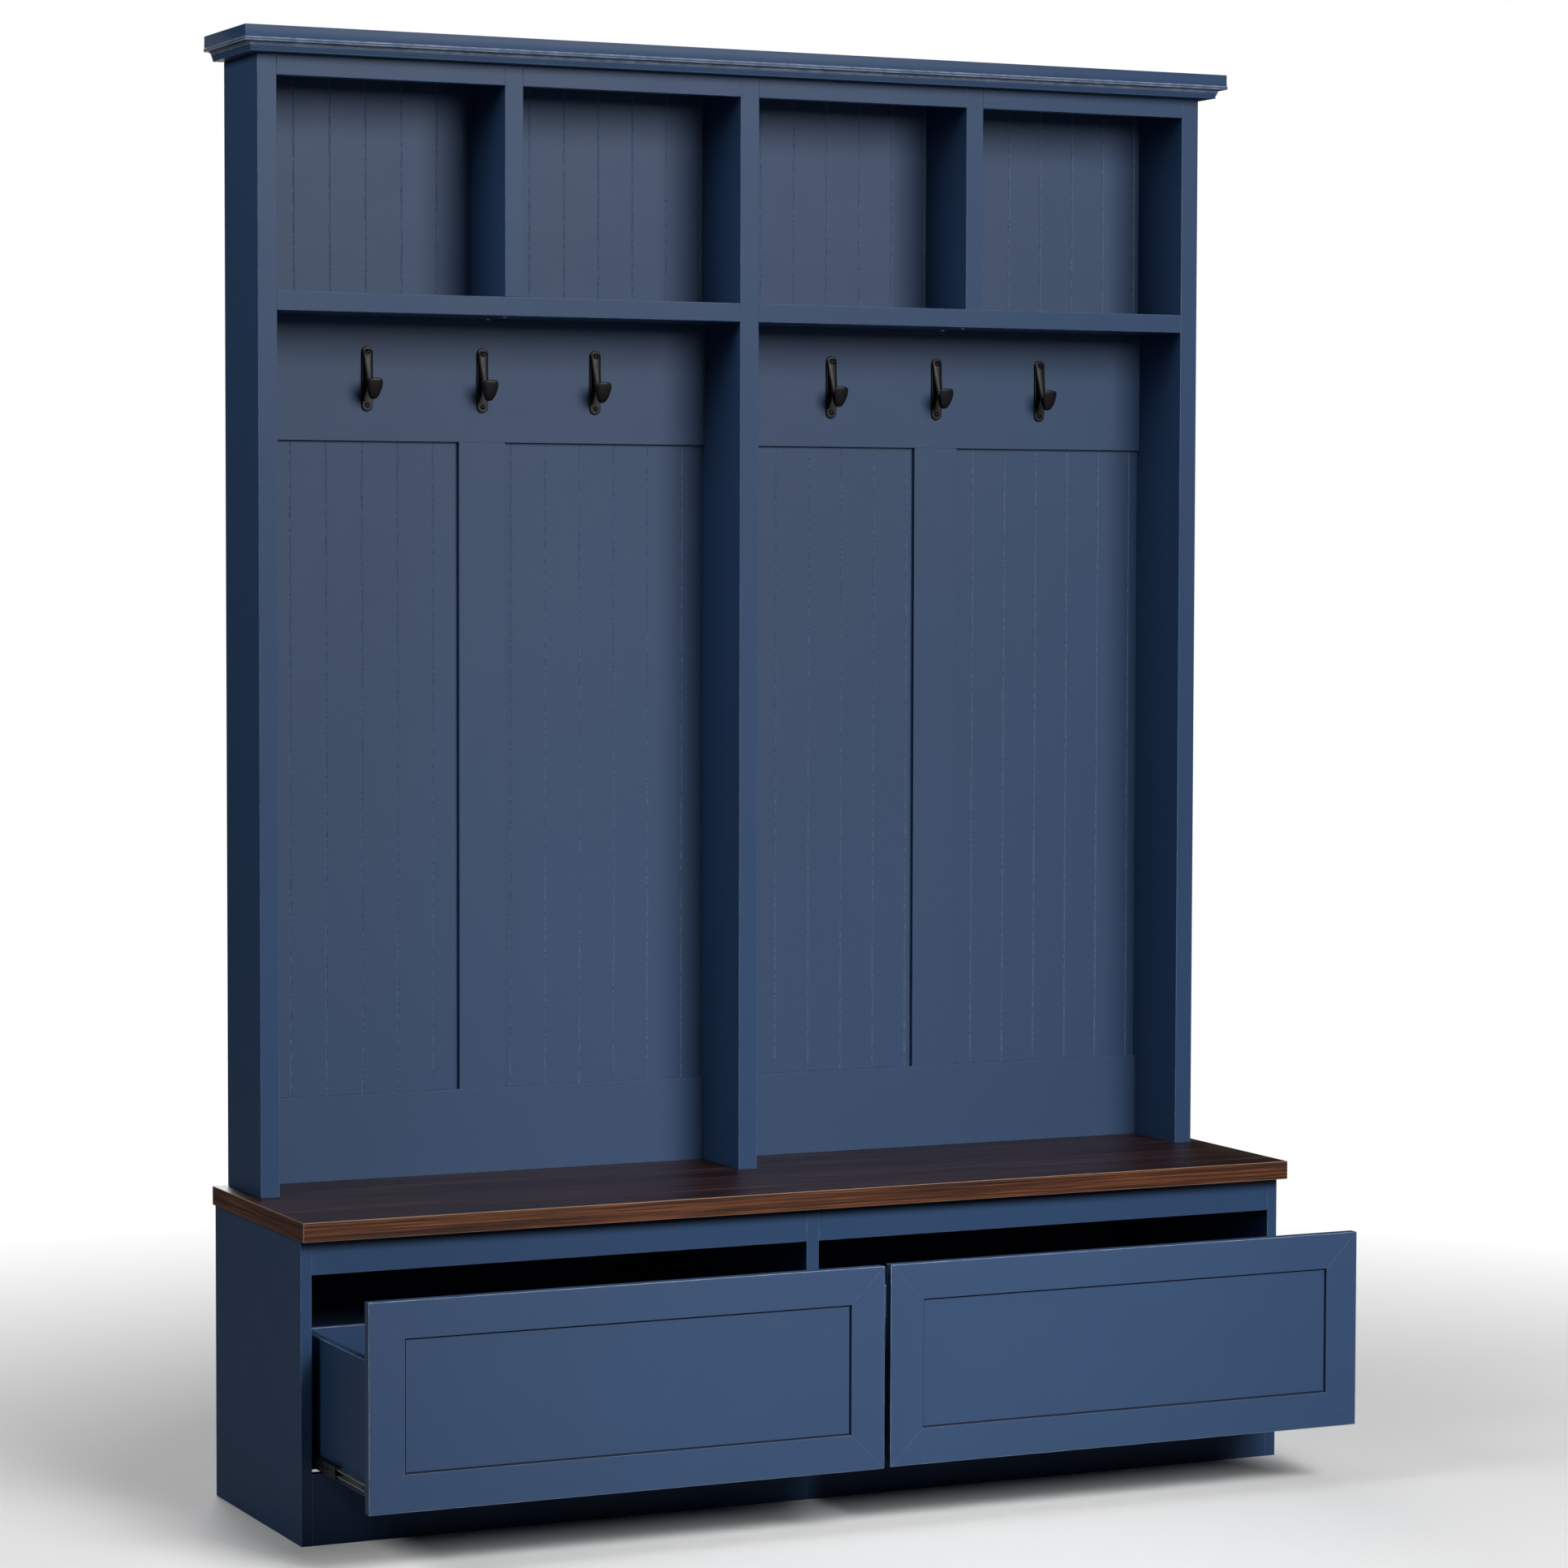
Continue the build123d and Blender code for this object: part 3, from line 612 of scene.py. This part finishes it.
# ---- Screws --------------------------------------------------------------------------------
# Two black cross-recess screws with domed heads hold each hook. Two zinc-plated ones come up
# through each shelf into the short upright that stands on it.
def plated_steel(name, colour, scale):
    """Plated or coated steel whose gloss changes slightly over distances set by scale."""
    material, nodes, links, shader = new_material(name, colour, 0.34, 1.0)
    gloss = shader_node(nodes, "ShaderNodeGroup", node_tree=MOTTLE)
    for socket, value in (("Scale", scale), ("Low", 0.26), ("High", 0.42)):
        gloss.inputs[socket].default_value = value
    links.new(gloss.outputs[0], shader.inputs["Roughness"])
    grain_bump(nodes, links, shader, scale=160, depth=0.0001, stretch=(8, 0.4, 8),
               strength=0.25)
    return material


def cut(bm, cutter):
    """A bmesh with another one's shape taken out of it."""
    mesh = bpy.data.meshes.new("cutter")
    cutter.to_mesh(mesh)
    cutter.free()
    tool = bpy.data.objects.new("cutter", mesh)
    bpy.context.scene.collection.objects.link(tool)
    tool.hide_render = True
    result = applied(bm, ("BOOLEAN", {"object": tool, "operation": "DIFFERENCE",
                                      "solver": "EXACT"}))
    bpy.data.objects.remove(tool)
    bpy.data.meshes.remove(mesh)
    return result


def screw_head(radius, height):
    """A domed head at the origin that faces +Z, with a cross cut into it."""
    bm = bmesh.new()
    bmesh.ops.create_uvsphere(bm, u_segments=24, v_segments=12, radius=radius)
    bmesh.ops.scale(bm, vec=(1, 1, height / radius), verts=bm.verts)
    bmesh.ops.bisect_plane(bm, geom=[*bm.verts, *bm.edges, *bm.faces], plane_co=(0, 0, 0),
                           plane_no=(0, 0, -1), clear_outer=True)
    bmesh.ops.holes_fill(bm, edges=bm.edges)
    arm, width, depth = radius * 0.62, radius * 0.13, height * 0.62
    above = height + 0.001
    for size in ((arm, width), (width, arm)):
        bm = cut(bm, box_bmesh((-size[0], -size[1], height - depth), (*size, above)))
    return bm


def placed_copies(shape, places):
    """Copies of a bmesh, one at each place, as one bmesh."""
    whole = bmesh.new()
    for place in places:
        one = shape.copy()
        bmesh.ops.transform(one, matrix=place, verts=one.verts)
        add_bmesh(whole, one)
    return whole


screw_black = plated_steel("black_steel", (0.022, 0.022, 0.024), 300.0)
zinc = plated_steel("zinc_plate", (0.60, 0.61, 0.62), 55.0)
FACING_FRONT, FACING_DOWN = (Matrix.Rotation(turn, 4, "X") for turn in (math.pi / 2, math.pi))
# How far each hook screw lies below the plate's top, and its head's foot off the board.
HOOK_SCREWS = ((0.0085, 0.0044), (0.082, 0.0029))
FIRST_TURN, NEXT_TURN = 0.5, 1.3
SHELF_SCREWS_FROM_BACK = (0.042, 0.107)
head = screw_head(radius=0.0036, height=0.0018)
places = [Matrix.Translation((x, y - reach, top - drop)) @ FACING_FRONT
          for x, y, top in hook_places for drop, reach in HOOK_SCREWS]
for number, place in enumerate(places):
    places[number] = place @ Matrix.Rotation(FIRST_TURN + NEXT_TURN * number, 4, "Z")
make_piece(placed_copies(head, places), "hook_screws_black", [screw_black], CARCASS,
           ["hook_screws"], smooth_angle=35)

places = []
for side in ("left", "right"):
    low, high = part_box(f"cubby_upright_{side}")
    for back_off in SHELF_SCREWS_FROM_BACK:
        spot = ((low.x + high.x) / 2, high.y - back_off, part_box(f"shelf_{side}")[0].z)
        places.append(Matrix.Translation(spot) @ FACING_DOWN)
make_piece(placed_copies(head, places), "shelf_screws", [zinc], CARCASS,
           smooth_angle=35)
head.free()


# ---- Drawer boxes ---------------------------------------------------------------------------
# Each drawer is a box of 12 mm boards with a thin bottom in grooves. The sides and the back
# are sprayed like the rest, and cam bolts draw the sides against the front.
DRAWERS = {side: f"drawer_{side}" for side in ("left", "right")}
# The drawer boards take edge paint, so their arrises carry its painted highlight.
for drawer in DRAWERS.values():
    for board in ("side_left", "side_right", "back", "bottom"):
        painted_board(f"{drawer}_{board}", drawer, paint=edge_paint)


# ---- Drawer fronts --------------------------------------------------------------------------
# A front is a frame of four mitred rails round a flat panel that lies a few millimetres
# back. The joints are glued, and each still shows as a fine line under the paint.
FRONT_FRAME_WIDTH = 0.049
FRONT_ARRIS, JOINT_ARRIS, STEP_ARRIS_REACH = 0.0009, 0.0002, 0.0012
LONG_EDGE = 0.01
EXACT = 1e-7
QUIRK_WIDTH, QUIRK_DEPTH = 0.0022, 0.002


def mitred_rail(length, half_height, depths, groove):
    """A rail along X with its outer edge down, cut at 45 degrees where it meets the next."""
    front, panel_front, panel_back, back = depths
    low, high = -half_height, -half_height + FRONT_FRAME_WIDTH
    outline = ((front, low), (back, low), (back, high), (panel_back, high),
               (panel_back, high - groove), (panel_front, high - groove),
               (panel_front, high), (front, high))
    bm = bmesh.new()
    section = bm.faces.new([bm.verts.new((-length / 2, y, z)) for y, z in outline])
    made = bmesh.ops.extrude_face_region(bm, geom=[section])["geom"]
    moved = [item for item in made if isinstance(item, bmesh.types.BMVert)]
    bmesh.ops.translate(bm, vec=(length, 0, 0), verts=moved)
    bmesh.ops.recalc_face_normals(bm, faces=bm.faces)
    for end in (-1, 1):
        made = bmesh.ops.bisect_plane(bm, geom=[*bm.verts, *bm.edges, *bm.faces], dist=EXACT,
                                      plane_co=(end * length / 2, 0, low),
                                      plane_no=(end, 0, 1), clear_outer=True)["geom_cut"]
        cut_edges = [item for item in made if isinstance(item, bmesh.types.BMEdge)]
        bmesh.ops.holes_fill(bm, edges=cut_edges)
    bmesh.ops.remove_doubles(bm, verts=bm.verts, dist=EXACT)
    bmesh.ops.recalc_face_normals(bm, faces=bm.faces)
    outer = [edge for edge in bm.edges
             if all(abs(vert.co.z - low) < SAME_PLACE for vert in edge.verts)]
    ease(bm, outer, FRONT_ARRIS)
    bm.normal_update()
    # The eased outer arris faces take edge paint, whose pale arris colour is painted highlight.
    for face in bm.faces:
        along, through, up = (abs(value) for value in face.normal)
        face.material_index = int(along < 1 - SQUARE_ON and max(through, up) < SQUARE_ON)
    sharp = [edge for edge in bm.edges
             if edge.calc_length() > LONG_EDGE and len(edge.link_faces) == 2
             and edge.calc_face_angle() > SHARP_ANGLE
             and all(vert.co.y < front + STEP_ARRIS_REACH for vert in edge.verts)]
    ease(bm, sharp, JOINT_ARRIS, segments=2)
    return bm


def quirked_panel(node, held):
    """The flat panel, held by its rim, with a fine quirk cut along inside the frame.

    The quirk's faces are coloured dark: painted shade in the recess.
    """
    bm = merged_copy(node)
    face = min(bm.faces, key=lambda one: one.calc_center_median().y)
    bmesh.ops.inset_region(bm, faces=[face], thickness=held, use_even_offset=True)
    untouched = set(bm.faces)
    for width, depth in ((0, -QUIRK_DEPTH), (QUIRK_WIDTH, 0), (0, QUIRK_DEPTH)):
        bmesh.ops.inset_region(bm, faces=[face], thickness=width, depth=depth,
                               use_even_offset=True)
    for one in set(bm.faces) - untouched:
        one.material_index = 1
    return bm


def drawer_front(drawer):
    """A frame of four rails, each turned a quarter from the last, and the panel in it."""
    low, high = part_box(f"{drawer}_front_frame")
    panel_low, panel_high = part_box(f"{drawer}_front_panel")
    groove = FRONT_FRAME_WIDTH - (panel_low.x - low.x)
    depths = (low.y, panel_low.y, panel_high.y, high.y)
    size, middle = high - low, (high + low) / 2
    whole = bmesh.new()
    for quarter in range(4):
        length, height = (size.x, size.z) if quarter % 2 == 0 else (size.z, size.x)
        rail = mitred_rail(length, height / 2, depths, groove)
        turn = Matrix.Rotation(quarter * math.pi / 2, 4, "Y")
        bmesh.ops.transform(rail, matrix=Matrix.Translation((middle.x, 0, middle.z)) @ turn,
                            verts=rail.verts)
        add_bmesh(whole, rail)
    make_piece(whole, f"{drawer}_front_frame_painted", [front_paint, edge_paint], drawer,
               [f"{drawer}_front_frame"])
    make_piece(quirked_panel(f"{drawer}_front_panel", groove), f"{drawer}_front_panel_painted",
               [front_paint, seam_shade], drawer, [f"{drawer}_front_panel"])


front_paint = satin_paint("front_paint", NAVY, WORN_AND_HIGHLIGHT_NAVY, roughness=0.46, specular=0.5)
# The quirk's dark colour is painted shade in the recess round the panel.
seam_shade = new_material("seam_shade", (0.007, 0.016, 0.034), 0.7)[0]
for drawer in DRAWERS.values():
    drawer_front(drawer)


# ---- Ball slides -----------------------------------------------------------------------------
# A rolled steel slide in three nested zinc-plated channels runs low on each side of a drawer:
# one on the cabinet, one on the drawer, and a middle one that follows at half the travel. The
# cabinet and middle channels are coloured near black as painted shade, for the shadow they sit
# in. Steel balls in a strip cage roll between their walls.
CHANNEL_EDGE = 0.0003
# Along each channel from its front, the screw and rivet holes and their radii.
SLIDE_HOLES = ((0.030, 0.0020), (0.046, 0.0014), (0.092, 0.0020), (0.16, 0.0020),
               (0.25, 0.0020))


def channel(web_x, opens, y, z, depth, wall=0.001, lip=0.0009):
    """A C-shaped channel along Y: its web stands at web_x and its walls reach to one side."""
    low, high = z
    chain = ((0, low), (depth, low), (depth, low + wall + lip), (depth - wall, low + wall + lip),
             (depth - wall, low + wall), (wall, low + wall), (wall, high - wall),
             (depth - wall, high - wall), (depth - wall, high - wall - lip),
             (depth, high - wall - lip), (depth, high), (0, high))
    bm = bmesh.new()
    section = bm.faces.new([bm.verts.new((web_x + opens * reach, y[0], height))
                            for reach, height in chain])
    made = bmesh.ops.extrude_face_region(bm, geom=[section])["geom"]
    moved = [item for item in made if isinstance(item, bmesh.types.BMVert)]
    bmesh.ops.translate(bm, vec=(0, y[1] - y[0], 0), verts=moved)
    bmesh.ops.recalc_face_normals(bm, faces=bm.faces)
    long_edges = [edge for edge in bm.edges if edge.calc_length() > (y[1] - y[0]) / 2]
    ease(bm, long_edges, CHANNEL_EDGE, segments=2)
    return bm


def punched(bm, web_x, front_y, middle_z):
    """The channel with its round holes cut through the web."""
    cutters = bmesh.new()
    for along, radius in SLIDE_HOLES:
        bmesh.ops.create_cone(cutters, cap_ends=True, segments=20, radius1=radius, radius2=radius,
                              depth=0.006,
                              matrix=Matrix.Translation((web_x, front_y + along, middle_z))
                              @ Matrix.Rotation(math.pi / 2, 4, "Y"))
    return cut(bm, cutters)


def slide_pair(node, webs, opens_inwards, depth):
    """The two channels of one node, one on each side of the drawer, with their holes."""
    low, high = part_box(node)
    whole = bmesh.new()
    for web_x, inward in zip(webs, (1, -1)):
        opens = inward if opens_inwards else -inward
        one = channel(web_x, opens, (low.y, high.y), (low.z, high.z), depth)
        add_bmesh(whole, punched(one, web_x, low.y, (low.z + high.z) / 2))
    return whole


BALL_RADIUS, BALL_SPACING = 0.00105, 0.008
STRIP_HALF_WIDTH, STRIP_HALF_THICKNESS = 0.0024, 0.0003


def ball_rows(x, y, heights):
    """Rows of balls along Y, each with the edge of the strip that spaces them."""
    bm = bmesh.new()
    for height in heights:
        add_bmesh(bm, box_bmesh((x - STRIP_HALF_WIDTH, y[0], height - STRIP_HALF_THICKNESS),
                                (x + STRIP_HALF_WIDTH, y[1], height + STRIP_HALF_THICKNESS)))
        for number in range(int((y[1] - y[0]) / BALL_SPACING)):
            spot = Matrix.Translation((x, y[0] + (number + 0.5) * BALL_SPACING, height))
            bmesh.ops.create_icosphere(bm, subdivisions=2, radius=BALL_RADIUS, matrix=spot)
    return bm


# The cabinet and middle channels are zinc in shadow, coloured near black: painted shade.
painted_shade_zinc = plated_steel("black_electrocoat", (0.035, 0.035, 0.038), 55.0)
CABINET_DEPTH, MIDDLE_DEPTH, DRAWER_DEPTH = 0.0095, 0.0086, 0.0086
SLIDE_SPACE = 0.0127
MIDDLE_SETBACK = 0.0022
BALL_LINE = 0.0065
BALL_DROP = 0.0005
# Where each pair of rows runs, from the middle channel's front.
INNER_ROWS, OUTER_ROWS = (0.004, 0.124), (0.120, 0.260)
cabinet_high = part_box("cabinet_slide_members")[1]
cabinet_channels = bmesh.new()
for side, drawer in DRAWERS.items():
    middle = f"middle_slides_{side}"
    outer_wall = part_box(f"base_side_{side}")
    centre_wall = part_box("base_centre_panel")
    walls = (outer_wall, centre_wall) if side == "left" else (centre_wall, outer_wall)
    bay = (walls[0][1].x, walls[1][0].x)
    add_bmesh(cabinet_channels, slide_pair("cabinet_slide_members", bay, True, CABINET_DEPTH))
    node = f"middle_{side}_slide_members"
    webs = (bay[0] + MIDDLE_SETBACK, bay[1] - MIDDLE_SETBACK)
    make_piece(slide_pair(node, webs, True, MIDDLE_DEPTH), f"{node}_black",
               [painted_shade_zinc], middle, [node])
    node = f"{drawer}_slide_members"
    webs = (bay[0] + SLIDE_SPACE, bay[1] - SLIDE_SPACE)
    make_piece(slide_pair(node, webs, False, DRAWER_DEPTH), f"{node}_zinc",
               [zinc], drawer, [node])

    middle_low, middle_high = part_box(f"middle_{side}_slide_members")
    drawer_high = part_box(node)[1]
    centre_z = (middle_low.z + middle_high.z) / 2
    balls = bmesh.new()
    for x in (bay[0] + BALL_LINE, bay[1] - BALL_LINE):
        for rows, beside in ((INNER_ROWS, drawer_high), (OUTER_ROWS, cabinet_high)):
            stretch = [middle_low.y + along for along in rows]
            height = (middle_high.z + beside.z) / 2 - BALL_DROP
            add_bmesh(balls, ball_rows(x, stretch, (height, 2 * centre_z - height)))
    make_piece(balls, f"ball_cages_{side}", [zinc], middle)
# The cabinet channels take the near-black painted shade in place of their zinc.
make_piece(cabinet_channels, "cabinet_slide_members_black", [painted_shade_zinc], CARCASS,
           ["cabinet_slide_members"])
